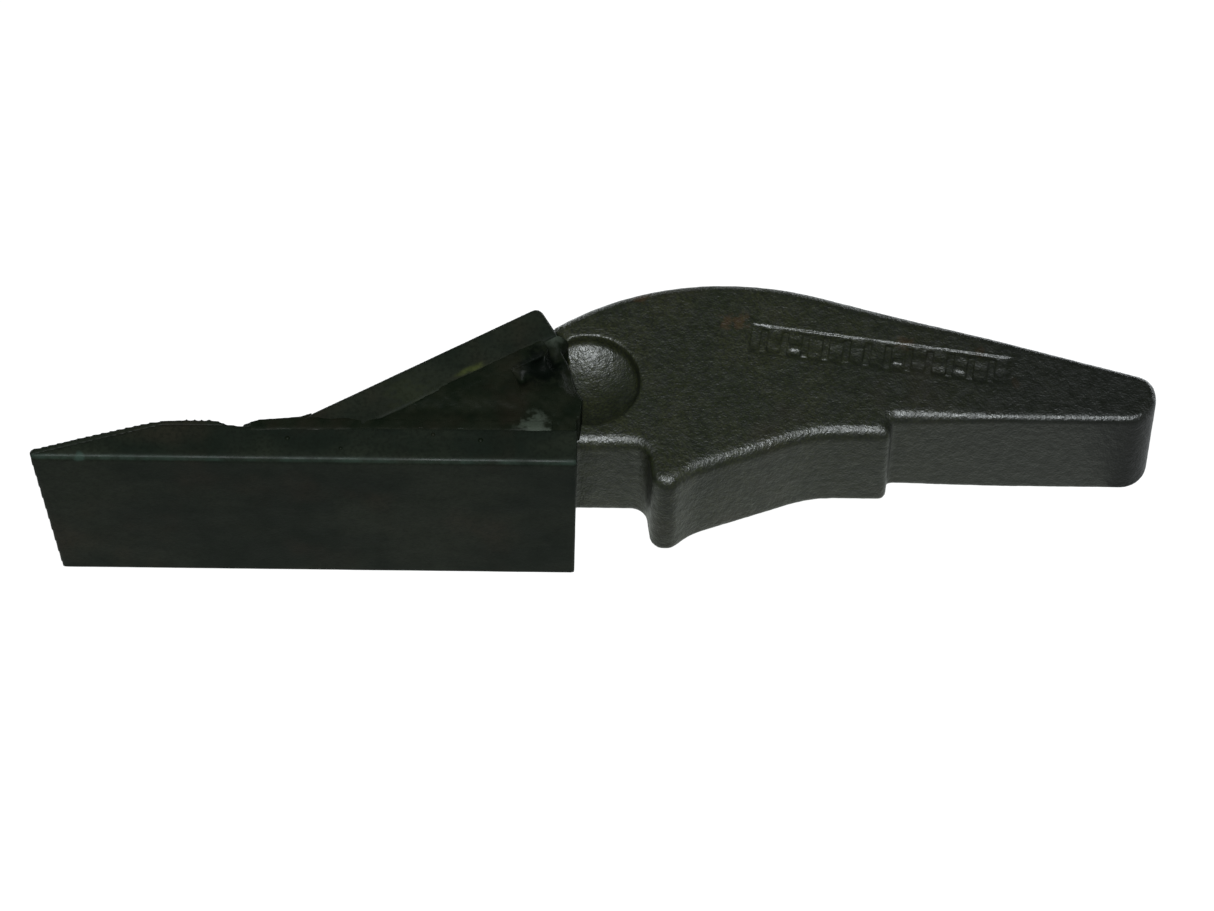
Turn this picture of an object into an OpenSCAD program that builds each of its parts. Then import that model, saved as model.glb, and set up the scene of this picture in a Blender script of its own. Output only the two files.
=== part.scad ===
// Left-hand pocket-type digging tooth for an earth-moving machine, millimetres.
// A forged shank carries a welded head: two flat bars set in a V around the shank's nose,
// with the V filled by weld on both sides. It lies on its side: +X from the cutting edge
// to the tail, +Y from the blade's front face to the shank's domed back, +Z up.
// The origin is the centre of the tooth's plan, at the level of the blade's lower edge.

/* [Flat bars] */
// Width of both flat bars, and so the width of the cut
bar_w = 50.8; // [44:0.1:60]
// Thickness of both flat bars
bar_t = 9.525; // [8:0.025:11]
// Length of the blade along its upper edge
blade_l = 126.6; // [124:0.1:127]
// How far the blade's lower corner stands back from its upper corner
tip_rake = 5.2; // [0:0.1:14]
// Steel left at the cutting edge under the bevel
edge_t = 0.9; // [0.5:0.1:1.5]
// Rise of the bevel for each millimetre of length
bevel_rise = 0.286; // [0.25:0.002:0.35]
// Angle between the brace bar and the blade
brace_angle = 29.8; // [28:0.1:31]
// Where the two bars' inner faces meet, from the cutting edge
apex_x = 77.5; // [76:0.1:79]
// Length of the brace's inner face, from that point to its square end
brace_l = 51.4; // [51:0.1:52]

/* [Shank] */
// Thickness of the forged shank, across the pocket
shank_t = 31.75; // [28:0.05:36]
// Whole length of the tooth
tooth_l = 262.5; // [256:0.5:270]
// Height of the domed back over the blade's front face
back_h = 56.9; // [56:0.1:58]
// Radius of the back in front of its peak
front_dome_r = 72; // [70:1:73]
// Radius of the back behind its peak
rear_dome_r = 80; // [70:1:90]
// Distance of the neck's seat from the blade's front face
neck_y = 11.3; // [10.8:0.1:12]
// Distance of the tail's seat from the blade's front face
tail_y = 19.3; // [18.5:0.1:20]
// Place of the shoulder that stops the tooth in its pocket
step_x = 200.2; // [196:0.1:204]

/* [Lock dimple] */
// Distance of the dimple's centre from the cutting edge
dimple_x = 129.1; // [127.5:0.1:130.5]
// Height of the dimple's centre over the blade's front face
dimple_y = 28.9; // [28:0.1:30]
// Radius of the dimple's rim
dimple_rim_r = 12.1; // [11:0.1:13]
// Depth of the dimple
dimple_depth = 6.4; // [5:0.1:7]
// Height of the upright wall under the dimple's rim
dimple_wall = 2.6; // [1:0.1:3]

/* [Welds] */
// Thickness of the hard overlay on the bevel
overlay_t = 1.35; // [1:0.05:2]
// Length of the hard overlay, from the cutting edge
overlay_l = 46; // [42:0.5:47]
// Radius of the seam beads
bead_r = 2.5; // [2:0.1:3]
// How deep the middle of a seam bead lies below the bars' edges
bead_sink = 1.3; // [1:0.1:1.6]
// Radius of the weld's end, from the point where the bars meet
weld_end_r = 50.5; // [49:0.1:51]

/* [Hidden] */

$fn = 96;
forging = "#3c403a";
bar_steel = "#2b2e2a";
weld_metal = "#34352f";

far = 400;                                  // longer than anything that it cuts
shank_z = [(bar_w - shank_t) / 2, (bar_w + shank_t) / 2];
tip_angle = atan(tip_rake / bar_w);
tip_stock = 5;                              // bar in front of the edge, before it is raked
apex = [apex_x, bar_t];
brace_dir = [cos(brace_angle), sin(brace_angle)];
brace_out = [-sin(brace_angle), cos(brace_angle)];
nose_blunt = 2.2;                           // the forging's nose stops short of the bars' meeting
heel_gap = 3;                               // between the brace's end and the shank's shoulder
fill_sink = 0.6;                            // fill weld lies this far below the bars' edges
end_weld_depth = dimple_depth - 0.4;        // how far it runs down into the dimple
fill_radii = [0, 13, 26, 37];               // where one fill bead ends and the next begins
step_y = 14.75;                             // seat between the hook and the step
hook_x = 144.4;                             // front of the hook's tip
hook_draft = 1.4;                           // the hook widens by this much towards its root
back_peak_x = 162;
front_turn = 34;                            // slope of the back's front end
shoulder_w = 8.6;                           // shoulder behind the brace's square end
tail_slope = 0.289;                         // fall of the back behind its rear arc
dimple_cap = dimple_depth - dimple_wall;
dimple_r = (dimple_rim_r * dimple_rim_r + dimple_cap * dimple_cap) / (2 * dimple_cap);
panel_l = 62.4;                             // sunk marking panel on the upper side
panel_w = 8.6;
panel_depth = 0.7;
panel_turn = -8.1;
panel_at = [167.6, 45.1];                   // its corner nearest the peak of the back
tick_size = [1.7, 6.2];
tick_first = 2.6;                           // from the panel's end to the first tick
tick_pitch = 4.9;
tick_count = 12;
dash_size = [2.2, 1.4];
dash_after = [1, 6, 9];                     // ticks that a short dash follows
heel_inset = 0.6;                           // the heel weld stops this far inside the shank's sides

function unit(v) = v / norm(v);

// Points of the arc that rounds corner p, between its neighbours a and b, to radius r
function rounded(a, p, b, r) =
    let (u = unit(a - p), v = unit(b - p), half = acos(u * v) / 2,
        c = p + unit(u + v) * r / sin(half),
        s = p + u * r / tan(half) - c, e = p + v * r / tan(half) - c,
        a0 = atan2(s.y, s.x), turn = atan2(s.x * e.y - s.y * e.x, s * e),
        n = max(3, ceil(abs(turn) / (r > 30 ? 1.5 : 9))))
    [for (i = [0:n]) c + r * [cos(a0 + turn * i / n), sin(a0 + turn * i / n)]];

// Outline through corners [x, y, radius], where radius 0 leaves a sharp corner
function outline(corners) =
    let (n = len(corners), xy = [for (c = corners) [c.x, c.y]])
    [for (i = [0:n - 1])
        each corners[i].z == 0 ? [xy[i]]
            : rounded(xy[(i + n - 1) % n], xy[i], xy[(i + 1) % n], corners[i].z)];

// The shank seen from above
function shank_corners() =
    let (front_x = back_peak_x - front_dome_r * tan(front_turn / 2),
        rear_x = back_peak_x + rear_dome_r * tan(atan(tail_slope) / 2),
        nose_y = bar_t + nose_blunt * tan(brace_angle),
        heel = apex + (brace_l + heel_gap) * brace_dir,
        heel_top = heel + shoulder_w * brace_out)
    [[apex.x + nose_blunt, bar_t, 0], [apex.x + nose_blunt, nose_y, 0],
        [heel.x, heel.y, 0], [heel_top.x, heel_top.y, 0],
        [front_x, back_h, front_dome_r], [rear_x, back_h, rear_dome_r],
        [tooth_l, back_h - (tooth_l - rear_x) * tail_slope, 5.5], [tooth_l, tail_y, 6.6],
        [step_x, tail_y, 1.5], [step_x, step_y, 1.8], [182.4, step_y, 30],
        [154.2, 4.4, 14], [149.3, 0.4, 3], [hook_x, 0.4, 3.4],
        [hook_x - hook_draft, neck_y, 4], [blade_l, neck_y, 0],
        [blade_l, bar_t, 0]];

// From the design's place, with the cutting edge at X 0, to the tooth's own frame
module placed() translate([-tooth_l / 2, -back_h / 2, 0]) children();

// Draws on the upper side, or turned over onto the lower side
module on_side(side) {
    if (side == "upper") children();
    else translate([0, 0, bar_w]) mirror([0, 0, 1]) children();
}

// Everything behind the bevel, with the bevel raised by lift
module bevel_cutter(lift)
    translate([0, edge_t + lift, bar_w]) rotate([0, -tip_angle, 0])
        translate([0, 0, -far / 2]) linear_extrude(far)
            polygon([[-20, -20 * bevel_rise], [60, 60 * bevel_rise], [60, 60], [-20, 60]]);

// Everything in front of the raked end of the blade
module tip_cutter()
    translate([0, 0, bar_w]) rotate([0, -tip_angle, 0])
        translate([-far, -far / 2, -far / 2]) cube(far);

// Rod along the seam between the blade's back and the brace or the fill
module blade_seam_rod() {
    seam_from = 53;
    seam_to = 118;
    over_back = 1.4;
    translate([seam_from, bar_t + over_back, bar_w - bead_sink]) {
        rotate([0, 90, 0]) cylinder(h = seam_to - seam_from, r = bead_r);
        sphere(bead_r);
        translate([seam_to - seam_from, 0, 0]) sphere(bead_r);
    }
}

// Rod along the seam between the brace's inner face and the fill
module brace_seam_rod() {
    seam_from = 21.5;
    seam_to = 45.5;
    inside_face = 0.8;
    translate([apex.x, apex.y, bar_w - bead_sink]) rotate([0, 0, brace_angle])
        translate([seam_from, -inside_face, 0]) {
            rotate([0, 90, 0]) cylinder(h = seam_to - seam_from, r = bead_r);
            sphere(bead_r);
            translate([seam_to - seam_from, 0, 0]) sphere(bead_r);
        }
}

// Seam rods of both sides, as grooves for them in the bars and the other welds
module seam_grooves()
    for (side = ["upper", "lower"]) on_side(side) {
        blade_seam_rod();
        brace_seam_rod();
    }

module below_edges()
    translate([-far / 2, -far / 2, 0]) cube([far, far, bar_w]);

module shank_body()
    translate([0, 0, shank_z[0]]) linear_extrude(shank_t) polygon(outline(shank_corners()));

module dimples()
    for (side = ["upper", "lower"]) on_side(side)
        translate([dimple_x, dimple_y, shank_z[1] - dimple_depth]) intersection() {
            translate([0, 0, dimple_r]) sphere(dimple_r);
            translate([0, 0, -1]) cylinder(h = dimple_depth + 2, r = dimple_rim_r);
        }

// Sunk panel with a row of plain raised ticks and dashes
module marking()
    translate([panel_at.x, panel_at.y, shank_z[1] - panel_depth]) rotate([0, 0, panel_turn])
        difference() {
            translate([0, -panel_w, 0]) cube([panel_l, panel_w, panel_depth + 1]);
            for (i = [0:tick_count - 1])
                translate([tick_first + i * tick_pitch, -panel_w / 2 - tick_size.y / 2, -1])
                    cube([tick_size.x, tick_size.y, panel_depth + 1]);
            for (i = dash_after)
                translate([tick_first + i * tick_pitch + (tick_size.x + tick_pitch - dash_size.x) / 2,
                    -panel_w / 2 - dash_size.y, -1])
                    cube([dash_size.x, dash_size.y, panel_depth + 1]);
        }

// The shank before it is marked, which the welds lie on
module plain_shank()
    difference() {
        shank_body();
        dimples();
    }

module shank()
    color(forging) placed() difference() {
        plain_shank();
        marking();
    }

// The blade's flat bar with its bevel, before its end is raked
module bevelled_bar()
    difference() {
        translate([-tip_stock, 0, 0]) cube([blade_l + tip_stock, bar_t, bar_w]);
        bevel_cutter(0);
    }

module blade_bar()
    color(bar_steel) placed() difference() {
        bevelled_bar();
        tip_cutter();
        seam_grooves();
    }

module brace_bar()
    color(bar_steel) placed() difference() {
        intersection() {
            translate([apex.x, apex.y, 0]) rotate([0, 0, brace_angle])
                translate([brace_l - 80, 0, 0]) cube([80, bar_t, bar_w]);
            translate([0, bar_t, 0]) cube([far, far, bar_w]);
        }
        seam_grooves();
    }

// Hard overlay on the bevel, with a rounded end on the flat behind it
module tip_hardfacing()
    color(weld_metal) placed() difference() {
        linear_extrude(bar_w)
            polygon(outline([[-tip_stock, edge_t / 2, 0], [overlay_l, edge_t / 2, 0],
                [overlay_l, bar_t + 0.1, 0], [overlay_l - 3.5, bar_t + overlay_t, 2.5],
                [-tip_stock, bar_t + overlay_t, 0]]));
        bevel_cutter(overlay_t);
        tip_cutter();
        bevelled_bar();
    }

// Fillet in the angle between the blade's back and the brace's foot
module toe_weld() {
    foot_x = apex.x - bar_t / sin(brace_angle);
    color(weld_metal) placed() difference() {
        linear_extrude(bar_w)
            polygon([[foot_x, bar_t], [foot_x - 9.4, bar_t], [foot_x - 5.6, bar_t + 1.6],
                [foot_x + 2.6, bar_t + 2.3], [foot_x + 6, bar_t + 6 * tan(brace_angle)]]);
        seam_grooves();
    }
}

module blade_seam_weld(side)
    color(weld_metal) placed() on_side(side) intersection() {
        blade_seam_rod();
        below_edges();
    }

module brace_seam_weld(side)
    color(weld_metal) placed() on_side(side) difference() {
        intersection() {
            brace_seam_rod();
            below_edges();
        }
        blade_seam_rod();
    }

// The part of the V between two radii from the point where the bars meet
module pocket(from_r, to_r)
    intersection() {
        polygon([apex, apex + [far, 0], apex + far * brace_dir]);
        translate(apex) difference() {
            circle(to_r);
            if (from_r > 0) circle(from_r);
        }
    }

module fill_bead(side, i)
    color(weld_metal) placed() on_side(side) difference() {
        translate([0, 0, shank_z[1]])
            linear_extrude(bar_w - fill_sink - shank_z[1])
                pocket(fill_radii[i - 1], fill_radii[i]);
        seam_grooves();
    }

// Last and roughest weld, which runs down into the edge of the dimple
module end_weld(side, craters)
    color(weld_metal) placed() on_side(side) difference() {
        translate([0, 0, shank_z[1] - end_weld_depth])
            linear_extrude(bar_w - fill_sink - shank_z[1] + end_weld_depth)
                pocket(fill_radii[3], weld_end_r);
        seam_grooves();
        plain_shank();
        translate([blade_l, 0, 0]) cube([far, neck_y + 1, bar_w]);
        for (c = craters) translate([c.x, c.y, bar_w - fill_sink]) sphere(c.z);
    }

// Groove weld between the brace's square end and the shank's shoulder
module brace_heel_weld()
    color(weld_metal) placed()
        translate([apex.x, apex.y, shank_z[0] + heel_inset]) rotate([0, 0, brace_angle])
            translate([brace_l, 0, 0]) cube([heel_gap, 8, shank_t - 2 * heel_inset]);

// Small balls of spatter stuck to the upper side
module weld_spatter() {
    ball_r = 0.8;
    stands = 0.35;
    color(weld_metal) placed() for (p = [[59.5, 6], [93.2, 7.4], [104.2, 6], [71.9, 3.4]])
        intersection() {
            translate([p.x, p.y, bar_w + stands - ball_r]) sphere(ball_r, $fn = 32);
            translate([p.x - 2, p.y - 2, bar_w]) cube(4);
        }
}

shank();
blade_bar();
brace_bar();
tip_hardfacing();
toe_weld();
blade_seam_weld("upper");  // upper_blade_seam_weld
blade_seam_weld("lower");  // lower_blade_seam_weld
brace_seam_weld("upper");  // upper_brace_seam_weld
brace_seam_weld("lower");  // lower_brace_seam_weld
for (i = [1:3]) {
    fill_bead("upper", i);
    fill_bead("lower", i);
}
end_weld("upper", [[114.8, 24.4, 2.3], [118.6, 20.9, 1.8], [120.3, 25.6, 2]]);  // upper_end_weld
end_weld("lower", [[116.1, 20.5, 2.2], [120.1, 24.4, 1.8]]);  // lower_end_weld
brace_heel_weld();
weld_spatter();
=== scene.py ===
"""Looks of a pocket-type digging tooth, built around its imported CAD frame.

Every visible piece is grown as a distance field in millimetres, in the design's own place: X from
the cutting edge, Y from the blade's front face and Z from the blade's lower edge. The field is
skinned into a mesh and put where the CAD says. Steel edges, bead ripples, craters, the lock dimple
and the sunk panel are all in the field, so they are real shape. Grain and stains are materials.
"""

import math
import bpy
import numpy as np
from mathutils import Matrix, Vector, noise


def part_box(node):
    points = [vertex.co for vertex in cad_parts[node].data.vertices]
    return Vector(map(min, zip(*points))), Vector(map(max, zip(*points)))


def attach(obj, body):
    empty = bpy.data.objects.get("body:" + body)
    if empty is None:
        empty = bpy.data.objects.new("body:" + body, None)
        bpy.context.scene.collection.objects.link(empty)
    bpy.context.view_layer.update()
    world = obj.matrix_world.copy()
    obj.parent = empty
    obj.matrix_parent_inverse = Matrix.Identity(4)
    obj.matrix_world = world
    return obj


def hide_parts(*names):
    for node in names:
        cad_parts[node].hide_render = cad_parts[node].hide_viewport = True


MM = 0.001

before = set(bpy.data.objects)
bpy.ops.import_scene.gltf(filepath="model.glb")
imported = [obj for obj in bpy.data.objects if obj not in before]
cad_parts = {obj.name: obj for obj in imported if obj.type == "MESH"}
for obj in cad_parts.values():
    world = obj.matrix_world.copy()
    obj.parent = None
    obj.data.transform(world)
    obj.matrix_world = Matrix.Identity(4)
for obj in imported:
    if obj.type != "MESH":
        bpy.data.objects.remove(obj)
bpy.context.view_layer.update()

# ---------------------------------------------------------------- sizes, in mm

def box_mm(node):
    """Lowest and highest corner of a CAD node, in the design's place."""
    low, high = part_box(node)
    return np.array(low) / MM - ORIGIN, np.array(high) / MM - ORIGIN


def in_frame(point_mm):
    """The frame's place, in m, of a place given in the design's mm."""
    return Vector((np.array(point_mm) + ORIGIN) * MM)


ORIGIN = np.array(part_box("blade_bar")[0]) / MM
BLADE = box_mm("blade_bar")[1]                  # blade's length, bar's thickness and bar's width
BLADE_L, BAR_T, BAR_W = BLADE
MID_Z = BAR_W / 2
SHANK_LOW, SHANK_HIGH = box_mm("shank")
SHANK_TOP = SHANK_HIGH[2]
HALF_T = (SHANK_HIGH[2] - SHANK_LOW[2]) / 2
TOP_Z = box_mm("weld_spatter")[1][2]            # highest that anything stands
APEX = box_mm("upper_fill_bead_1")[0][:2]       # where the two bars' inner faces meet
BRACE_ANGLE = math.radians(29.8)
BRACE_DIR = np.array([math.cos(BRACE_ANGLE), math.sin(BRACE_ANGLE)])
BRACE_OUT = np.array([-BRACE_DIR[1], BRACE_DIR[0]])
BRACE_L = (box_mm("brace_bar")[1][0] - APEX[0]) / BRACE_DIR[0]
TIP_RAKE = 5.2
TIP_ANGLE = math.atan(TIP_RAKE / BAR_W)
EDGE_T = 0.9
BEVEL_RISE = 0.286
OVERLAY_T = 1.35
OVERLAY_L = box_mm("tip_hardfacing")[1][0]
DIMPLE = np.array([129.1, 28.9])
DIMPLE_RIM_R = 12.1
DIMPLE_DEPTH = 6.4
DIMPLE_WALL = 2.6                               # height of the dimple's upright wall
DIMPLE_DRAFT = 0.12                             # how far the wall leans outwards, per mm of height
PANEL_AT = np.array([167.6, 45.1])
PANEL_TURN = math.radians(-8.1)
PANEL_SIZE = np.array([62.4, 8.6])
PANEL_DEPTH = 0.7
PANEL_RUN_FAR, PANEL_RUN_NEAR = 0.35, 2.2       # how wide the slopes of its long edges are
PANEL_RUN_LEFT, PANEL_RUN_RIGHT = 0.6, 2.0      # and of its short edges
TICK_SIZE = np.array([1.7, 6.2])
TICK_PITCH = 4.9
TICK_COUNT = 12
TICK_FIRST = 2.6
DASH_SIZE = np.array([2.2, 1.4])
DASH_AFTER = (1, 6, 9)                          # ticks that a short dash follows
FORGED_R = 3.2                                  # rounding of the forging's edges
HOOK_SIDE = (142.5, 6.0)                        # X and Y of the hook's wall beside the notch
HOOK_LESS_R = 1.8                               # how much sharper the upper edge is there
TAIL_LESS_R = 1.4                               # how much sharper the tail's edges are
TAIL_FROM_X, TAIL_RUN = 195, 35                 # where they turn sharper, and over what length
ROLLED_R = 0.9                                  # rounding of the rolled bars' edges
RUBBED_R = 1.5                                  # rounding of the blade's upper front edge

SEAM_FROM, SEAM_TO = 50.6, 121.0                # seam bead along the blade's back
SEAM_NEAR_X = (50.6, 73, 104, 112)              # its front edge's places, and their Y
SEAM_NEAR_Y = (7.3, 7.7, 8.1, 8.3)
SEAM_FAR_Y = 13.6
SEAM_PITCH = 2.3                                # from one ripple of a bead to the next
FILL_PITCH, TOE_PITCH, HEEL_PITCH = 2.9, 2.8, 2.6
OVERLAY_PITCH = 7.3                             # from one pass of the overlay to the next
OVERLAY_RIPPLE = 1.9
BEAD_REACH = 3.7                                # how far down the seam and brace beads reach
BRACE_BEAD_LONG = (19.5, 47.5)                  # the brace bead's ends, along the brace
BRACE_BEAD_WIDE = (-3.2, 1.5)                   # and its sides, out through the brace
SEAM_LUMP = (116.8, 9.9)                        # lump where the bead ended
FILL_RADII = (0.0, 13.0, 26.0, 37.0)            # ends of the fill passes, from the apex
WELD_END_R = 50.4                               # end of the last pass, from the apex
END_LUMP = (120.0, 36.2)                        # X and Y of its lump, its ridge and the middle of the painted shade over its craters
END_LUMP_R = 4.6
END_RIDGE = (118.9, 30.2)
END_SHADE = (118.2, 27.0)
# craters of the end weld: X, Y, half width, half length, depth
CRATERS = ((113.6, 23.4, 1.4, 1.7, 1.7), (116.9, 29.8, 1.0, 2.2, 1.5), (121.0, 29.0, 1.3, 2.8, 1.5),
           (118.6, 25.2, 2.8, 2.0, 0.8))
WELD_SHIFT = 1.5                                # how far the lower weld's marks are moved
END_SPECKS = ((111.6, 26.2), (115.4, 19.6), (116.6, 19.2))
TOE_X = (49.1, 50.7, 53, 57.7, 60, 62.3, 65)    # the toe weld's top: places and heights
TOE_RISE = (0.25, 0.9, 1.65, 2.15, 2.4, 2.8, 3.7)
FOOT_X = APEX[0] - BAR_T / math.sin(BRACE_ANGLE)    # where the brace's outer face meets the blade
TAIL_REST_X = 259.0                             # where the tail touches the floor
# X, Y and radius of the balls of spatter
SPATTER = ((59.5, 6.0, 0.7), (93.2, 7.4, 0.6), (104.2, 6.0, 0.75), (71.9, 3.4, 0.5))
# X, Y and radius of the rust spots on the forging's upper side
RUST_SPOTS = ((164.8, 45.6, 2.2), (161.6, 45.2, 1.8), (203.6, 40.0, 2.0), (221.3, 38.0, 1.5),
              (229.3, 29.3, 1.4), (141.7, 52.0, 2.0))
STAIN_AT = ((98.3, 23.6), (105.5, 27.5))        # ends of the yellow-green streak on the brace

# the stage's flat pieces: corners in plan in m, height in m, paint, glow and the glow's colour
SHEET = ((-0.165, -0.135), (0.165, -0.135), (0.165, 0.17), (-0.165, 0.17))
# what reflections see of the sheet: less in front of the blade and less still by the shank
CARD = ((-0.150, -0.056), (-0.004, -0.056), (0.002, -0.038), (0.122, -0.036), (0.122, 0.060),
        (-0.150, 0.060))
FLOOR = ((-6, -6), (6, -6), (6, 6), (-6, 6))
STAGE = (("sheet", SHEET, 0.0, 0.04, 0.97, (1, 1, 1, 1.0)),
         ("card", CARD, -0.001, 0.0, 0.95, (0.93, 1.0, 0.92, 1.0)),
         ("floor", FLOOR, -0.002, 0.1, 0.0, (1, 1, 1, 1.0)))
AIM = Vector((0.0026, -0.0105, 0.025))
CAMERA_AZIMUTH = -1.306
CAMERA_ELEVATION = 58.706
CAMERA_ROLL = math.radians(1.802)
CAMERA_DISTANCE = 1.6255
CAMERA_LENS = 204.6
# azimuth, elevation, distance in m, size in m and watts. The low lights come from under the floor,
# which casts no shadow, so they reach only the walls turned away from the camera.
LIGHTS = (("flash", CAMERA_AZIMUTH, CAMERA_ELEVATION + 1.5, 1.5, 0.12, 85),
          ("room_left", -75, 50, 1.6, 0.9, 1.5),
          ("room_right", 80, 45, 1.6, 0.9, 1.5),
          ("low_right_145", 145, -18, 1.6, 0.9, 75),
          ("low_left_145", -145, -18, 1.6, 0.9, 75),
          ("low_right_98", 98, -18, 1.6, 0.9, 20),
          ("low_left_98", -98, -18, 1.6, 0.9, 20))
LIGHT_COLOUR = (0.93, 0.98, 1.0)
WORLD_COLOUR = (0.95, 1.0, 0.98, 1.0)
WORLD_STRENGTH = 0.12

# ---------------------------------------------------------------- distance fields

def both(a, b, r=0.0):
    """Inside both fields, with the edge between them rounded to radius r."""
    if not np.any(r):
        return np.maximum(a, b)
    corner = np.hypot(np.maximum(a + r, 0), np.maximum(b + r, 0))
    return np.minimum(-r, np.maximum(a, b)) + corner


def either(a, b, r=0.0):
    """Inside one field or the other, with the angle between them filled to radius r."""
    return -both(-a, -b, r)


def minus(a, b, r=0.0):
    return both(a, -b, r)


def ease(t):
    t = np.clip(t, 0, 1)
    return t * t * (3 - 2 * t)


def segments_distance(x, y, segments):
    """Signed distance in plan to the closed outline made by the segments."""
    far = np.full(np.broadcast(x, y).shape, np.inf)
    inside = np.zeros(far.shape, bool)
    for (ax, ay), (bx, by) in segments:
        dx, dy = bx - ax, by - ay
        t = np.clip(((x - ax) * dx + (y - ay) * dy) / (dx * dx + dy * dy), 0, 1)
        far = np.minimum(far, np.hypot(x - ax - t * dx, y - ay - t * dy))
        if ay != by:
            inside ^= ((ay > y) != (by > y)) & (x < ax + (y - ay) * dx / dy)
    return np.where(inside, -far, far)


def wall_outline(node):
    """The outline of an upright CAD node, where the level at mid height cuts its faces."""
    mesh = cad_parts[node].data
    points = np.array([v.co for v in mesh.vertices]) / MM - ORIGIN
    segments = []
    for face in mesh.polygons:
        ring = points[list(face.vertices)]
        cuts = []
        for a, b in zip(ring, np.roll(ring, -1, 0)):
            if (a[2] > MID_Z) != (b[2] > MID_Z):
                cuts.append((a + (b - a) * (MID_Z - a[2]) / (b[2] - a[2]))[:2])
        if len(cuts) == 2:
            segments.append(cuts)
    return segments


def ball(x, y, z, centre, r):
    return np.sqrt((x - centre[0]) ** 2 + (y - centre[1]) ** 2 + (z - centre[2]) ** 2) - r


def wobble(x, y, size, seed):
    """Smooth waves in plan between about -1 and 1, as wide as size."""
    rng = np.random.default_rng(seed)
    total = 0
    for _ in range(5):
        turn, phase, stretch = rng.uniform(0, 2 * math.pi), rng.uniform(0, 7), rng.uniform(0.7, 1.5)
        along = (x * math.cos(turn) + y * math.sin(turn)) * 2 * math.pi / (size * stretch)
        total = total + np.sin(along + phase)
    return total / 3


def hill(x, y, centre, half_x, half_y):
    """1 at the centre, falling smoothly to 0 at about twice the half sizes."""
    return np.exp(-((x - centre[0]) / half_x) ** 2 - ((y - centre[1]) / half_y) ** 2)


def ripples(along, pitch):
    """0 in the valleys between a bead's ripples and 1 on their crests."""
    return np.abs(np.sin(math.pi * along / pitch))


# ---------------------------------------------------------------- skinning

def surface_net(field, low, step):
    """Points and quads of the surface where the field is 0."""
    inside = field < 0
    cells = tuple(n - 1 for n in field.shape)
    count = np.zeros(cells, np.int8)
    for offset in np.ndindex(2, 2, 2):
        count += inside[tuple(slice(o, o + n) for o, n in zip(offset, cells))]
    active = (count > 0) & (count < 8)
    index = np.full(cells, -1, np.int64)
    home = np.argwhere(active)
    index[active] = np.arange(len(home))
    total, hits = np.zeros((len(home), 3)), np.zeros(len(home))
    quads = []
    for axis in range(3):
        a, b = (axis + 1) % 3, (axis + 2) % 3
        for side_a, side_b in np.ndindex(2, 2):
            start = home.copy()
            start[:, a] += side_a
            start[:, b] += side_b
            end = start.copy()
            end[:, axis] += 1
            f0, f1 = field[tuple(start.T)], field[tuple(end.T)]
            cross = (f0 < 0) != (f1 < 0)
            point = start[cross].astype(float)
            point[:, axis] += f0[cross] / (f0[cross] - f1[cross])
            total[cross] += point
            hits[cross] += 1
        here = [slice(None)] * 3
        there = [slice(None)] * 3
        here[axis], there[axis] = slice(0, -1), slice(1, None)
        change = np.argwhere(inside[tuple(here)] != inside[tuple(there)])
        fits = (change[:, a] > 0) & (change[:, a] < cells[a])
        change = change[fits & (change[:, b] > 0) & (change[:, b] < cells[b])]
        ring = []
        for step_a, step_b in ((1, 1), (0, 1), (0, 0), (1, 0)):
            cell = change.copy()
            cell[:, a] -= step_a
            cell[:, b] -= step_b
            ring.append(index[tuple(cell.T)])
        ring = np.stack(ring, 1)
        outward = inside[tuple(change.T)]
        ring[~outward] = ring[~outward][:, ::-1]
        quads.append(ring)
    return low + step * total / hits[:, None], np.concatenate(quads)


def mesh_object(name, points, quads):
    """A smooth-shaded mesh from points in mm, moved to the frame's place in metres."""
    mesh = bpy.data.meshes.new(name)
    mesh.from_pydata(((points + ORIGIN) * MM).tolist(), [], quads.tolist())
    mesh.shade_smooth()
    mesh.update()
    obj = bpy.data.objects.new(name, mesh)
    bpy.context.scene.collection.objects.link(obj)
    return obj


def grid_net(field, low, high, step):
    """The surface net of field(x, y, z) in the box from low to high, on a grid of step mm."""
    low, high = np.array(low, float) - 2 * step, np.array(high, float) + 2 * step
    axes = [np.arange(lo, hi + step, step) for lo, hi in zip(low, high)]
    return surface_net(np.asarray(field(*np.ix_(*axes)), np.float32), low, step)


def skin(name, net, rough=(), seed=0):
    """Makes the net into a mesh and roughens it.

    rough lists (depth, size) pairs in mm. The roughness only goes inwards, so a piece never
    grows past its CAD node's box.
    """
    points, quads = net
    obj = mesh_object(name, points, quads)
    if rough:
        normals = np.empty(3 * len(points))
        obj.data.vertices.foreach_get("normal", normals)
        depth = np.zeros(len(points))
        for i, (amount, size) in enumerate(rough):
            shift = Vector((seed + 17.3 * i, 5.1 * seed, 3.7 * i))
            waves = [noise.noise(Vector(p) / size + shift) for p in points]
            depth += amount * (0.5 + 0.5 * np.array(waves))
        points = points - normals.reshape(-1, 3) * depth[:, None]
        obj.data.vertices.foreach_set("co", ((points + ORIGIN) * MM).ravel())
        obj.data.update()
    return obj


# ---------------------------------------------------------------- the pieces' fields

def panel_place(x, y):
    """Distance along the marking panel and across it, from its corner nearest the back's peak."""
    dx, dy = x - PANEL_AT[0], y - PANEL_AT[1]
    return (dx * math.cos(PANEL_TURN) + dy * math.sin(PANEL_TURN),
            dy * math.cos(PANEL_TURN) - dx * math.sin(PANEL_TURN))


def mark(u, v, centre, size):
    """1 on a plain raised block in the panel, with steep sides and a rounded foot."""
    edge = 0.35
    across = ease((size[0] / 2 + edge / 2 - np.abs(u - centre[0])) / edge)
    near = ease((v - centre[1] + size[1] / 2 + 0.3) / 0.6)
    return across * near * ease((size[1] / 2 + edge / 2 - v + centre[1]) / edge)


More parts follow.
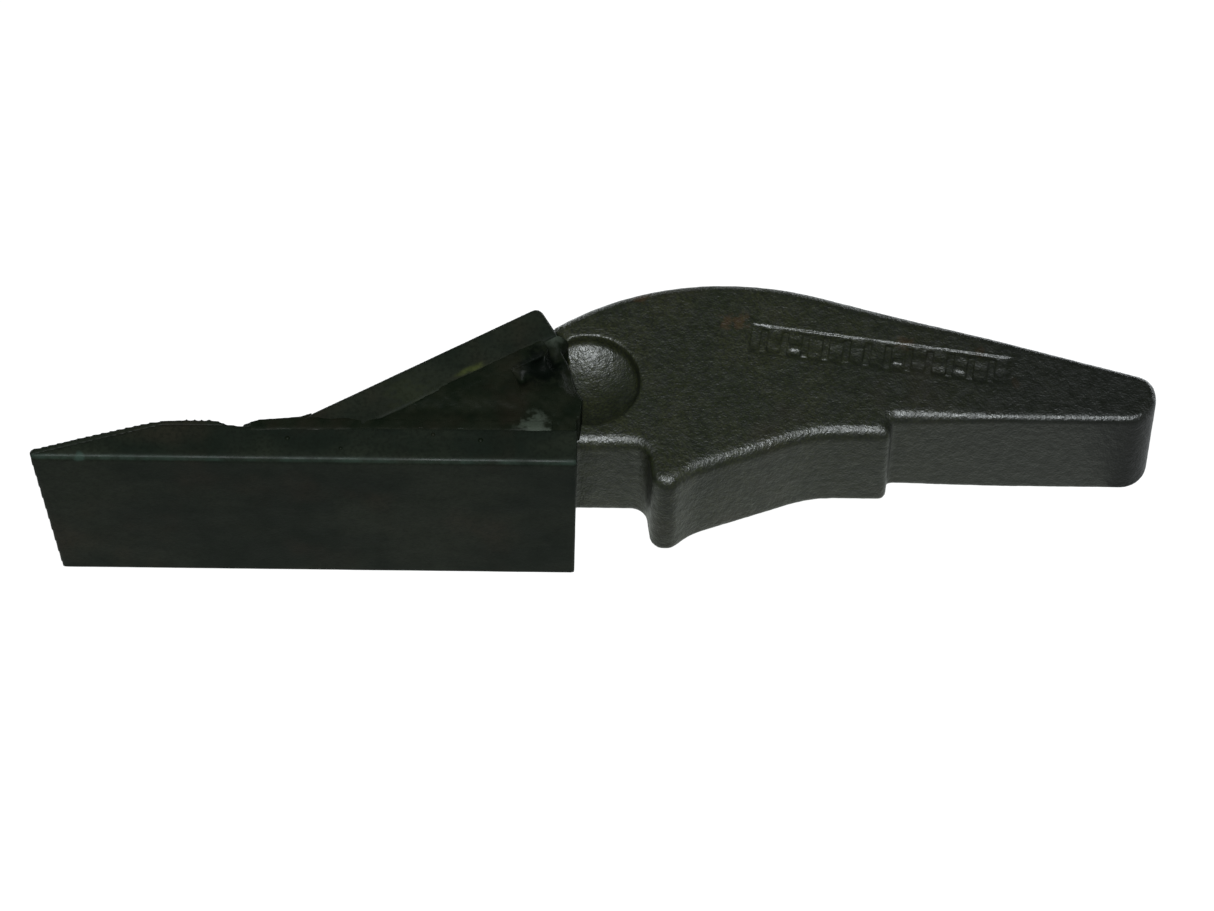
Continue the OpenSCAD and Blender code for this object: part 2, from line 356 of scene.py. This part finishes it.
def panel_depth(x, y):
    """Depth of the sunk marking panel, with its plain raised ticks and dashes."""
    u, v = panel_place(x, y)
    sunk = ease(-v / PANEL_RUN_FAR) * ease((v + PANEL_SIZE[1]) / PANEL_RUN_NEAR)
    sunk = sunk * (0.5 + 0.2 * wobble(u, v, 5, 62))
    sunk = sunk * ease(u / PANEL_RUN_LEFT) * ease((PANEL_SIZE[0] - u) / PANEL_RUN_RIGHT)
    raised = 0
    for i in range(TICK_COUNT):
        centre = (TICK_FIRST + TICK_SIZE[0] / 2 + i * TICK_PITCH, -PANEL_SIZE[1] / 2)
        raised = np.maximum(raised, mark(u, v, centre, TICK_SIZE))
        if i in DASH_AFTER:
            centre = (centre[0] + TICK_PITCH / 2, centre[1] - DASH_SIZE[1] / 2)
            raised = np.maximum(raised, mark(u, v, centre, DASH_SIZE))
    return PANEL_DEPTH * sunk * (1 - 0.9 * raised)


def shank_field(x, y, z):
    plan = segments_distance(x[:, :, 0], y[:, :, 0], wall_outline("shank"))[:, :, None]
    edge_r = FORGED_R - TAIL_LESS_R * ease((x - TAIL_FROM_X) / TAIL_RUN)
    edge_r = edge_r - HOOK_LESS_R * hill(x, y, HOOK_SIDE, 3, 6) * ease((z - MID_Z) / 10)
    body = both(plan, np.abs(z - MID_Z) - HALF_T + panel_depth(x, y) * (z > MID_Z), edge_r)
    cap = DIMPLE_DEPTH - DIMPLE_WALL
    cap_r = (DIMPLE_RIM_R ** 2 + cap ** 2) / (2 * cap)
    wall = np.hypot(x - DIMPLE[0], y - DIMPLE[1]) - DIMPLE_RIM_R
    for side in (1, -1):
        centre_z = MID_Z + side * (HALF_T - DIMPLE_DEPTH + cap_r)
        floor = ball(x, y, z, (*DIMPLE, centre_z), cap_r)
        drafted = wall + DIMPLE_DRAFT * (HALF_T - (z - MID_Z) * side)
        body = minus(body, both(drafted, floor, 0.3), 0.45)
    return body


def bevel(x, y, z, lift):
    """Above 0 behind the bevel's plane, raised by lift. The plane leans with the raked tip."""
    along = x * math.cos(TIP_ANGLE) + (z - BAR_W) * math.sin(TIP_ANGLE)
    slope = math.atan(BEVEL_RISE)
    return (y - EDGE_T - lift) * math.cos(slope) - along * math.sin(slope)


def tip_end(x, z):
    """Above 0 in front of the raked end of the blade."""
    return -(x * math.cos(TIP_ANGLE) + (z - BAR_W) * math.sin(TIP_ANGLE))


def slab(value, low, high):
    return np.maximum(low - value, value - high)


def blade_field(x, y, z):
    back = both(y - BAR_T, slab(z, 0, BAR_W), ROLLED_R * ease((x - OVERLAY_L) / 2))
    bar = np.maximum(both(-y, slab(z, 0, BAR_W), ROLLED_R), both(-y, z - BAR_W, RUBBED_R))
    bar = both(both(np.maximum(bar, back), x - BLADE_L, 0.5), tip_end(x, z), 0.8)
    return both(bar, bevel(x, y, z, 0))


def along_brace(x, y):
    """Distance along the brace's inner face from the apex, and out through its thickness."""
    dx, dy = x - APEX[0], y - APEX[1]
    return dx * BRACE_DIR[0] + dy * BRACE_DIR[1], dx * BRACE_OUT[0] + dy * BRACE_OUT[1]


def brace_field(x, y, z):
    along, out = along_brace(x, y)
    bar = both(slab(out, 0, BAR_T), slab(z, 0, BAR_W), ROLLED_R)
    end = both(along - BRACE_L, out - BAR_T, 2.4)
    return both(both(bar, end, ROLLED_R), APEX[1] - 0.3 - y)


def keep(obj, node, material):
    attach(obj, "root")
    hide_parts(node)
    obj.data.materials.append(material)
    return obj


def back_edge(x):
    """Y of the toe weld's top, and behind it of the brace's outer face."""
    return BAR_T + np.maximum(np.interp(x, TOE_X, TOE_RISE), (x - FOOT_X) * math.tan(BRACE_ANGLE))


def weld_deck(x, y, side):
    """Height of the filled V over mid height, nearly flush with both bars.

    A valley runs behind the seam bead, and the lower side lies a little deeper.
    """
    valley = 0.45 * np.exp(-((y - SEAM_FAR_Y - 0.9) / 2.0) ** 2) * ease((118 - x) / 8)
    flush = BAR_W / 2 - (0.06 if side > 0 else 0.2)
    waves = 0.06 * wobble(x, y, 6, 23 + side) + 0.04 * wobble(x, y, 2.6, 35 + side)
    return flush - valley - 0.10 * ease((11 - y) / 3) + waves


def seam_bead_field(side):
    """Long low bead along the blade's back, which fades on the way to the lump at its end."""
    def field(x, y, z):
        up = (z - MID_Z) * side
        ripple = ripples(x + 0.10 * (y - SEAM_LUMP[1]) ** 2, SEAM_PITCH)
        near = np.interp(x, SEAM_NEAR_X, SEAM_NEAR_Y) + 0.12 * wobble(x, 0 * y, 14, 5 + side)
        crown = 0.02 + 0.17 * ease((78 - x) / 8) + 0.06 * wobble(x, 0 * y, 6, 3 + side)
        crown = (crown - 0.05 * ripple) * ease((SEAM_TO - x) / 5) - (0.3 if side < 0 else 0)
        top = BAR_W / 2 + crown - (0.35 + crown) * (1 - ease((y - near + 0.2) / 1.8))
        top = top - 1.1 * (1 - ease((SEAM_FAR_Y - y) / 2.6))
        top = top + 0.30 * hill(x, y, SEAM_LUMP, 3.6, 1.7) + 0.08 * hill(x, y, (110.5, 9.2), 2, 0.8)
        plan = both(slab(x, SEAM_FROM, SEAM_TO), slab(y, near - 0.4, SEAM_FAR_Y), 1.5)
        plan = both(plan, y - back_edge(x) + 0.15)
        top = np.minimum(top, TOP_Z - MID_Z)
        return both(plan, np.maximum(up - top, BAR_W / 2 - BEAD_REACH - up), 0.3)
    return field


def brace_bead_field(side):
    """Shorter bead, nearly flush with the brace's edge, along its inner face."""
    def field(x, y, z):
        up = (z - MID_Z) * side
        along, out = along_brace(x, y)
        ripple = ripples(along + 0.12 * out ** 2, SEAM_PITCH)
        crown = 0.03 + 0.03 * wobble(x, y, 8, 11 + side) - 0.03 * ripple - (0.15 if side < 0 else 0)
        top = BAR_W / 2 - 0.35 + (0.35 + crown) * ease((out + 4.2) / 3) * ease((1.6 - out) / 0.8)
        plan = both(slab(along, *BRACE_BEAD_LONG), slab(out, *BRACE_BEAD_WIDE), 1.5)
        return both(plan, np.maximum(up - top, BAR_W / 2 - BEAD_REACH - up), 0.3)
    return field


def fill_field(side, near, far):
    """One weave pass across the V, with faint crescent ripples around the apex."""
    def field(x, y, z):
        up = (z - MID_Z) * side
        away = np.hypot(x - APEX[0], y - APEX[1])
        along, out = along_brace(x, y)
        plan = np.maximum(APEX[1] - 0.5 - y, out - 0.5)
        plan = np.maximum(plan, slab(away, near - 0.4, far + 0.4))
        ripple = ripples(away + 0.5 * wobble(x, y, 10, 21), FILL_PITCH)
        top = weld_deck(x, y, side) + 0.04 * ripple
        return both(plan, np.maximum(up - top, HALF_T - 1 - up))
    return field


def end_weld_field(side):
    """Last pass: craters where it was broken off, a ridge between them, and a lump on the brace."""
    shift = 0 if side > 0 else WELD_SHIFT
    def field(x, y, z):
        up = (z - MID_Z) * side
        away = np.hypot(x - APEX[0], y - APEX[1]) + 0.3 * wobble(x, y, 7, 31 + side)
        along, out = along_brace(x, y)
        reach = WELD_END_R + (0.8 * ease((21 - y) / 4) if side > 0 else 0)
        plan = np.maximum(BAR_T - 2 - y, out - 1.0)
        plan = both(both(plan, FILL_RADII[3] - 0.5 - away), away - reach, 0.5)
        past_blade = x - BLADE_L - (0.1 * (y - 5) if side > 0 else 0)
        plan = both(np.maximum(plan, past_blade), np.minimum(x - BLADE_L, 12.4 - y), 0.4)
        top = weld_deck(x, y, side) - 0.3 * ease((y - 19) / 4)
        for cx, cy, half_x, half_y, depth in CRATERS:
            top = top - depth * hill(x, y, (cx - shift, cy + shift), half_x, half_y)
        top = top + 1.2 * hill(x, y, (END_RIDGE[0] - shift, END_RIDGE[1]), 0.6, 1.3)
        for bx, by in END_SPECKS:
            top = top + 0.5 * hill(x, y, (bx - shift, by), 0.5, 0.6)
        top = top - 1.6 * ease((away - WELD_END_R + 6) / 6) ** 2 * ease((y - 17) / 5)
        lump = ball(x, y, up, (*END_LUMP, BAR_W / 2 - END_LUMP_R), END_LUMP_R)
        body = both(plan, np.maximum(up - np.minimum(top, BAR_W / 2), HALF_T - 5 - up), 0.6)
        return either(body, lump, 1.5)
    return field


def toe_field(x, y, z):
    """Fillet bead in the angle between the blade's back and the brace's foot."""
    ripple = ripples(z + 0.05 * (x - 55) ** 2, TOE_PITCH)
    top = BAR_T + np.interp(x, TOE_X, TOE_RISE) + 0.12 * ripple
    body = both(y - top, TOE_X[0] + 0.3 * wobble(z, 0 * x, 9, 41) - x, 0.5)
    body = both(body, slab(z, 0.1, BAR_W - 0.1), 0.7)
    return np.maximum(np.maximum(body, BAR_T - 0.6 - y), x - TOE_X[-1])


def overlay_field(x, y, z):
    """Hard overlay on the bevel and on the flat behind it, laid in passes along the bar."""
    valley = 0.3 * (1 - ripples(z + 0.6 * wobble(x, z, 25, 51), OVERLAY_PITCH))
    valley = valley * ease((BAR_W - z) / 3)
    ripple = 0.07 * np.sin(2 * math.pi * (x + 0.4 * wobble(z, x, 9, 52)) / OVERLAY_RIPPLE)
    flat = y - BAR_T - OVERLAY_T * ease((OVERLAY_L + 0.3 - x) / 4.2)
    body = both(bevel(x, y, z, OVERLAY_T), flat, 1.5) + valley + ripple
    body = both(both(body, x - OVERLAY_L), tip_end(x, z), 0.5)
    body = both(body, slab(z, 0.15, BAR_W - 0.15), 0.1)
    return np.maximum(body, -np.maximum(bevel(x, y, z, -0.4), y - BAR_T + 0.4))


def heel_field(x, y, z):
    """Groove weld between the brace's square end and the shank's shoulder, and its root."""
    along, out = along_brace(x, y)
    ripple = ripples(z + 0.08 * (along - BRACE_L - 1.5) ** 2, HEEL_PITCH)
    body = both(slab(along, BRACE_L - 0.6, BRACE_L + 3.6), out - 7.5 - 0.25 * ripple, 0.8)
    body = both(body, slab(z, MID_Z - HALF_T + 0.8, MID_Z + HALF_T - 0.8), 1.5)
    root = np.maximum(-2.5 - out, np.abs(z - MID_Z) - 8)
    return np.maximum(body, np.minimum(1.0 - out, root))


def spatter_field(x, y, z):
    """Small balls stuck to the upper side."""
    field = np.full(np.broadcast(x, y, z).shape, 9.0)
    for sx, sy, r in SPATTER:
        field = np.minimum(field, ball(x, y, z, (sx, sy, TOP_Z - r), r))
    return field


# ---------------------------------------------------------------- materials

class Shader:
    """A material whose nodes are added one at a time, with values or sockets as inputs."""

    def __init__(self, name):
        self.material = bpy.data.materials.new(name)
        self.material.use_nodes = True
        self.tree = self.material.node_tree
        self.surface = self.tree.nodes["Principled BSDF"]
        self.place = self.node("ShaderNodeTexCoord").outputs["Object"]

    def node(self, kind, inputs=None, **settings):
        made = self.tree.nodes.new(kind)
        for key, value in settings.items():
            setattr(made, key, value)
        for key, value in (inputs or {}).items():
            self.feed(made.inputs[key], value)
        return made

    def feed(self, socket, value):
        if isinstance(value, bpy.types.NodeSocket):
            self.tree.links.new(value, socket)
        else:
            socket.default_value = value

    def grain(self, size, detail=3.0, rough=0.55, stretch=(1, 1, 1)):
        """Noise from 0 to 1 whose lumps are size mm wide."""
        place = self.node("ShaderNodeMapping", {0: self.place, "Scale": stretch}).outputs[0]
        made = self.node("ShaderNodeTexNoise", {"Vector": place, "Scale": 1 / (size * MM),
                                                "Detail": detail, "Roughness": rough})
        return made.outputs["Fac"]

    def span(self, value, low, high, to_low=0.0, to_high=1.0):
        """Carries value from low..high to to_low..to_high, smoothly and clamped."""
        made = self.node("ShaderNodeMapRange", {0: value, 1: low, 2: high, 3: to_low, 4: to_high},
                         interpolation_type="SMOOTHSTEP")
        return made.outputs[0]

    def maths(self, operation, a, b=0.0, c=0.0):
        return self.node("ShaderNodeMath", {0: a, 1: b, 2: c}, operation=operation).outputs[0]

    def vector(self, operation, a, b=(0, 0, 0)):
        """A vector sum, or the single number of a LENGTH or DISTANCE."""
        made = self.node("ShaderNodeVectorMath", {0: a, 1: b}, operation=operation)
        return made.outputs["Value" if operation in ("LENGTH", "DISTANCE") else "Vector"]

    def mix(self, amount, a, b):
        made = self.node("ShaderNodeMix", data_type="RGBA")
        self.feed(made.inputs[0], amount)
        self.feed(made.inputs[6], a)
        self.feed(made.inputs[7], b)
        return made.outputs[2]

    def spot(self, centre, r, ragged=0.5):
        """1 within about r mm of a place given in the design's mm, with a ragged edge."""
        far = self.vector("DISTANCE", self.place, in_frame(centre))
        edge = self.span(self.grain(1.6), 0.3, 0.7, 1 - ragged, 1 + ragged)
        reach = self.maths("MULTIPLY", edge, r * MM)
        share = self.maths("DIVIDE", far, reach)
        return self.span(share, 0.4, 1.2, 1.0, 0.0)

    def near_path(self, start, end, z, r):
        """1 within r mm of the line between two places in plan, at height z in the design's mm."""
        middle = [(a + b) / 2 for a, b in zip(start, end)]
        dx, dy = end[0] - start[0], end[1] - start[1]
        where = in_frame((*middle, z))
        turned = self.node("ShaderNodeVectorRotate",
                           {0: self.place, 1: where, 3: -math.atan2(dy, dx)},
                           rotation_type="Z_AXIS").outputs[0]
        away = self.vector("SUBTRACT", turned, where)
        flat = self.vector("MULTIPLY", away, (r / math.hypot(dx, dy) * 1.6, 1, 1))
        return self.span(self.vector("LENGTH", flat), 0.3 * r * MM, 1.1 * r * MM, 1, 0)

    def near_line(self, middle, half, r):
        """1 within r mm of a line along X through a place in the design's mm, half mm each way."""
        away = self.vector("SUBTRACT", self.place, in_frame(middle))
        flat = self.vector("MULTIPLY", away, (0, 1, 1))
        along = self.node("ShaderNodeSeparateXYZ", {0: away}).outputs[0]
        inside = self.maths("LESS_THAN", self.maths("ABSOLUTE", along), half * MM)
        near = self.span(self.vector("LENGTH", flat), 0.6 * r * MM, r * MM, 1, 0)
        return self.maths("MULTIPLY", near, inside)

    def bump(self, heights):
        """Stacks (height from 0 to 1, depth in mm) pairs into one normal."""
        normal = None
        for height, depth in heights:
            inputs = {"Height": height, "Strength": 1.0, "Distance": depth * MM}
            if normal:
                inputs["Normal"] = normal
            normal = self.node("ShaderNodeBump", inputs).outputs[0]
        return normal


def grey(r, g, b):
    return (r, g, b, 1.0)


GREEN_DARK = (0.0033, 0.0044, 0.0014, 1.0)
GREEN_LIGHT = (0.0054, 0.0062, 0.0020, 1.0)


def forging_material():
    """Shot-blasted forging under thin oil: fine pitted grain, green-brown mottling, rust specks.

    It darkens towards the tail.
    """
    s = Shader("forging_steel")
    colour = s.mix(s.span(s.grain(9, 4), 0.35, 0.65), GREEN_DARK, GREEN_LIGHT)
    pitted = s.span(s.grain(0.6, 2), 0.35, 0.65, 0, 0.8)
    colour = s.mix(pitted, colour, grey(0.0012, 0.0016, 0.0009))
    brown = s.span(s.grain(23, 3), 0.52, 0.72, 0, 0.4)
    colour = s.mix(brown, colour, grey(0.0065, 0.0050, 0.0030))
    rust = s.maths("MULTIPLY", s.span(s.grain(5, 5, 0.7), 0.66, 0.78), 0.2)
    for x, y, r in RUST_SPOTS:
        rust = s.maths("MAXIMUM", rust, s.spot((x, y, SHANK_TOP), r))
    colour = s.mix(s.maths("MULTIPLY", rust, 0.16), colour, grey(0.036, 0.014, 0.004))
    # the colour turns darker towards the tail
    along = s.node("ShaderNodeSeparateXYZ", {0: s.place}).outputs[0]
    darker_to_tail = s.span(along, (165 + ORIGIN[0]) * MM, (255 + ORIGIN[0]) * MM, 0, 0.9)
    colour = s.mix(darker_to_tail, colour, grey(0.0010, 0.0013, 0.0008))
    s.feed(s.surface.inputs["Base Color"], colour)
    s.feed(s.surface.inputs["Roughness"], s.span(s.grain(2.4, 3), 0.3, 0.7, 0.40, 0.52))
    s.surface.inputs["Specular IOR Level"].default_value = 0.21
    drawn = (1, 1, 0.7)
    pits = [(s.grain(1.1, 2, 0.55, drawn), 0.20), (s.grain(0.45, 1, 0.55, drawn), 0.11)]
    s.feed(s.surface.inputs["Normal"], s.bump(pits))
    return s.material


def bar_material(name, dark, light, rough_low, rough_high):
    """Rolled bar with mill scale: nearly smooth, cloudy, with brown patches and a rubbed upper
    front edge lightened partly as wear and partly as a painted highlight, with a painted glint at a
    nick.
    """
    s = Shader(name)
    clouds = s.span(s.grain(16, 5, 0.6, (0.6, 1, 1)), 0.35, 0.66)
    colour = s.mix(clouds, grey(*dark), grey(*light))
    colour = s.mix(s.span(s.grain(31, 3), 0.5, 0.7, 0, 0.5), colour, grey(0.0085, 0.006, 0.004))
    colour = s.mix(s.span(s.grain(0.8, 2), 0.4, 0.7, 0, 0.5), colour, grey(0.0018, 0.0022, 0.0016))
    # the blade's upper front edge is lightened partly as rubbed wear and partly as a painted
    # highlight; a nick near the tip carries a painted glint
    edge_band = s.near_line((BLADE_L / 2, 0, BAR_W), BLADE_L / 2, 1.3)
    wear_and_highlight = s.maths("MULTIPLY", edge_band, s.span(s.grain(5, 4, 0.6), 0.38, 0.66, 0.1, 0.55))
    wear_and_highlight = s.maths("MAXIMUM", wear_and_highlight, s.spot((11.6, 0.3, BAR_W - 0.3), 1.4, 0.3))
    colour = s.mix(wear_and_highlight, colour, grey(0.0080, 0.0130, 0.0100))
    broken = s.span(s.grain(2.2, 3), 0.35, 0.6)
    stain = s.maths("MULTIPLY", s.near_path(*STAIN_AT, BAR_W, 1.1), broken)
    haze = s.maths("MULTIPLY", s.spot((87.5, 18.5, BAR_W), 5.0, 0.7), 0.035)
    stain = s.maths("MAXIMUM", s.maths("MULTIPLY", stain, 0.3), haze)
    colour = s.mix(stain, colour, grey(0.030, 0.036, 0.008))
    s.feed(s.surface.inputs["Base Color"], colour)
    rough = s.span(s.grain(6, 4), 0.3, 0.7, rough_low, rough_high)
    s.feed(s.surface.inputs["Roughness"], rough)
    s.surface.inputs["Specular IOR Level"].default_value = 0.025
    s.feed(s.surface.inputs["Normal"], s.bump([(s.grain(3.0, 3), 0.05), (s.grain(0.6, 2), 0.03)]))
    return s.material


def weld_material():
    """As-laid weld under slag dust: dark and faintly patchy, with painted highlights on its lumps
    and painted shade over its end craters.
    """
    s = Shader("weld_metal")
    patches = s.span(s.grain(5, 4), 0.3, 0.7)
    colour = s.mix(patches, grey(0.0014, 0.0022, 0.0012), grey(0.0028, 0.0034, 0.0020))
    colour = s.mix(s.span(s.grain(13, 3), 0.5, 0.75, 0, 0.5), colour, grey(0.0040, 0.0030, 0.0020))
    # the seam's lump and the end weld's lump are painted lighter as a highlight
    lump = s.spot((*SEAM_LUMP, BAR_W), 3.8, 0.4)
    end_lump_highlight = s.maths("MULTIPLY", s.spot((*END_LUMP, BAR_W), 4.0, 0.3), 0.8)
    lump = s.maths("MAXIMUM", lump, end_lump_highlight)
    colour = s.mix(s.maths("MULTIPLY", lump, 0.8), colour, grey(0.014, 0.017, 0.013))
    # painted shade over the end weld's craters and the ground around them
    dark = s.spot((*END_SHADE, BAR_W - 1.5), 6.0, 0.3)
    colour = s.mix(s.maths("MULTIPLY", dark, 0.9), colour, grey(0.0004, 0.0007, 0.0005))
    s.feed(s.surface.inputs["Base Color"], colour)
    s.feed(s.surface.inputs["Roughness"], s.span(s.grain(1.8, 3), 0.3, 0.7, 0.36, 0.56))
    s.surface.inputs["Specular IOR Level"].default_value = 0.02
    s.feed(s.surface.inputs["Normal"], s.bump([(s.grain(1.4, 3), 0.10), (s.grain(0.5, 2), 0.05)]))
    return s.material


forging = forging_material()
bar_steel = bar_material("bar_steel", (0.0024, 0.0034, 0.0024), (0.0046, 0.0056, 0.0038), 0.36, 0.5)
overlay = bar_material("hard_overlay", (0.0022, 0.0032, 0.0022), (0.0042, 0.0052, 0.0034), 0.4, 0.6)
weld = weld_material()

# ---------------------------------------------------------------- the pieces

SIDES = (("upper", 1), ("lower", -1))

# grid steps in mm
FORGED_STEP, PANEL_STEP, BAR_STEP = 0.62, 0.22, 0.5
FILLET_STEP, FILL_STEP, BEAD_STEP, SPATTER_STEP = 0.4, 0.35, 0.3, 0.12
# roughness, as (depth, size) pairs in mm
FORGED_ROUGH = ((0.10, 2.2), (0.06, 1.1))
ROLLED_ROUGH = ((0.06, 9), (0.03, 3))
OVERLAY_ROUGH = ((0.08, 2.5),)
FILLET_ROUGH = ((0.10, 1.6),)
BEAD_ROUGH = ((0.08, 1.2),)
FILL_ROUGH = ((0.14, 1.5),)
END_ROUGH = ((0.16, 1.4),)
SPATTER_ROUGH = ((0.05, 0.6),)
HEEL_MARGIN = 4                                 # room around the heel weld's CAD box, for its root


def grown(node, field, step, material, rough=(), seed=0, margin=0):
    """Skins a field over a CAD node's box, and lets the piece stand for the node."""
    low, high = box_mm(node)
    net = grid_net(field, low - margin, high + margin, step)
    return keep(skin(node + "_skin", net, rough, seed), node, material)


def in_panel(net, margin):
    """Which quads of the net lie around the marking panel."""
    points, quads = net
    middle = points[quads].mean(1)
    u, v = panel_place(middle[:, 0], middle[:, 1])
    around = (np.abs(u - PANEL_SIZE[0] / 2) < PANEL_SIZE[0] / 2 + margin)
    around &= np.abs(v + PANEL_SIZE[1] / 2) < PANEL_SIZE[1] / 2 + margin
    return around & (middle[:, 2] > SHANK_TOP - 1.2)


def only(net, wanted):
    """The wanted quads of the net, with no loose points."""
    points, quads = net[0], net[1][wanted]
    used, index = np.unique(quads, return_inverse=True)
    return points[used], index.reshape(-1, 4)


def grow_shank():
    """The forging, with a finer grid around the marking panel."""
    coarse = grid_net(shank_field, *box_mm("shank"), FORGED_STEP)
    low = (PANEL_AT[0] - 4, PANEL_AT[1] - 21, SHANK_TOP - 1.5)
    high = (PANEL_AT[0] + PANEL_SIZE[0] + 2, PANEL_AT[1] + 2, SHANK_TOP)
    fine = grid_net(shank_field, low, high, PANEL_STEP)
    body = skin("shank_skin", only(coarse, ~in_panel(coarse, 1.0)), FORGED_ROUGH, 1)
    keep(body, "shank", forging)
    panel = skin("shank_panel_skin", only(fine, in_panel(fine, 1.4)), FORGED_ROUGH, 1)
    keep(panel, "shank", forging)


grow_shank()
grown("blade_bar", blade_field, BAR_STEP, bar_steel, ROLLED_ROUGH, 2)
grown("brace_bar", brace_field, BAR_STEP, bar_steel, ROLLED_ROUGH, 3)
grown("tip_hardfacing", overlay_field, BAR_STEP, overlay, OVERLAY_ROUGH, 4)
grown("toe_weld", toe_field, FILLET_STEP, weld, FILLET_ROUGH, 5)
grown("brace_heel_weld", heel_field, FILLET_STEP, weld, FILLET_ROUGH, 6, HEEL_MARGIN)
grown("weld_spatter", spatter_field, SPATTER_STEP, weld, SPATTER_ROUGH, 7)
for side_name, side in SIDES:
    grown(side_name + "_blade_seam_weld", seam_bead_field(side), BEAD_STEP, weld, BEAD_ROUGH, 8)
    grown(side_name + "_brace_seam_weld", brace_bead_field(side), BEAD_STEP, weld, BEAD_ROUGH, 9)
    grown(side_name + "_end_weld", end_weld_field(side), BEAD_STEP, weld, END_ROUGH, 10)
    for i in (1, 2, 3):
        field = fill_field(side, FILL_RADII[i - 1], FILL_RADII[i])
        grown(f"{side_name}_fill_bead_{i}", field, FILL_STEP, weld, FILL_ROUGH, 11 + i)

# ---------------------------------------------------------------- stage, lights and camera

def add_floor():
    """White sheet level with the tooth's heel and tail, on a dark floor.

    Reflections don't see the sheet but a smaller card just under it, so the walls darken towards
    their upper edges. None of them casts a shadow, which lets the low lights through.
    """
    heel, tail = in_frame((BLADE_L, 0, 0)), in_frame((TAIL_REST_X, 0, SHANK_LOW[2]))
    lean = math.atan2(tail.z - heel.z, tail.x - heel.x)
    level = Matrix.Translation(heel) @ Matrix.Rotation(-lean, 4, "Y")
    for name, corners, drop, paint, glow, tint in STAGE:
        mesh = bpy.data.meshes.new(name)
        points = [(x - heel.x, y - heel.y, drop) for x, y in corners]
        mesh.from_pydata(points, [], [tuple(range(len(points)))])
        obj = bpy.data.objects.new(name, mesh)
        bpy.context.scene.collection.objects.link(obj)
        obj.matrix_world = level
        obj.visible_glossy = name != "sheet"
        obj.visible_shadow = False
        s = Shader(name + "_paint")
        s.surface.inputs["Base Color"].default_value = grey(paint, paint, paint)
        s.surface.inputs["Roughness"].default_value = 0.9
        s.surface.inputs["Specular IOR Level"].default_value = 0.0
        s.surface.inputs["Emission Color"].default_value = tint
        s.surface.inputs["Emission Strength"].default_value = glow
        mesh.materials.append(s.material)


def direction(azimuth, elevation):
    a, e = math.radians(azimuth), math.radians(elevation)
    return Vector((math.sin(a) * math.cos(e), -math.cos(a) * math.cos(e), math.sin(e)))


def add_light(name, azimuth, elevation, distance, size, watts):
    lamp = bpy.data.lights.new(name, "AREA")
    lamp.shape = "DISK"
    lamp.size = size
    lamp.energy = watts
    lamp.color = LIGHT_COLOUR
    obj = bpy.data.objects.new(name, lamp)
    bpy.context.scene.collection.objects.link(obj)
    towards = direction(azimuth, elevation)
    obj.location = AIM + towards * distance
    obj.rotation_euler = towards.to_track_quat("Z", "Y").to_euler()


def add_camera():
    camera = bpy.data.cameras.new("camera")
    camera.sensor_width = 36.0
    camera.lens = CAMERA_LENS
    camera.clip_end = 50.0
    obj = bpy.data.objects.new("camera", camera)
    bpy.context.scene.collection.objects.link(obj)
    towards = direction(CAMERA_AZIMUTH, CAMERA_ELEVATION)
    turn = towards.to_track_quat("Z", "Y") @ Matrix.Rotation(CAMERA_ROLL, 3, "Z").to_quaternion()
    obj.location = AIM + towards * CAMERA_DISTANCE
    obj.rotation_euler = turn.to_euler()
    bpy.context.scene.camera = obj


add_floor()
add_camera()
for light in LIGHTS:
    add_light(*light)

world = bpy.data.worlds.new("world")
world.use_nodes = True
world.node_tree.nodes["Background"].inputs["Color"].default_value = WORLD_COLOUR
world.node_tree.nodes["Background"].inputs["Strength"].default_value = WORLD_STRENGTH
bpy.context.scene.world = world
bpy.context.scene.view_settings.view_transform = "Standard"
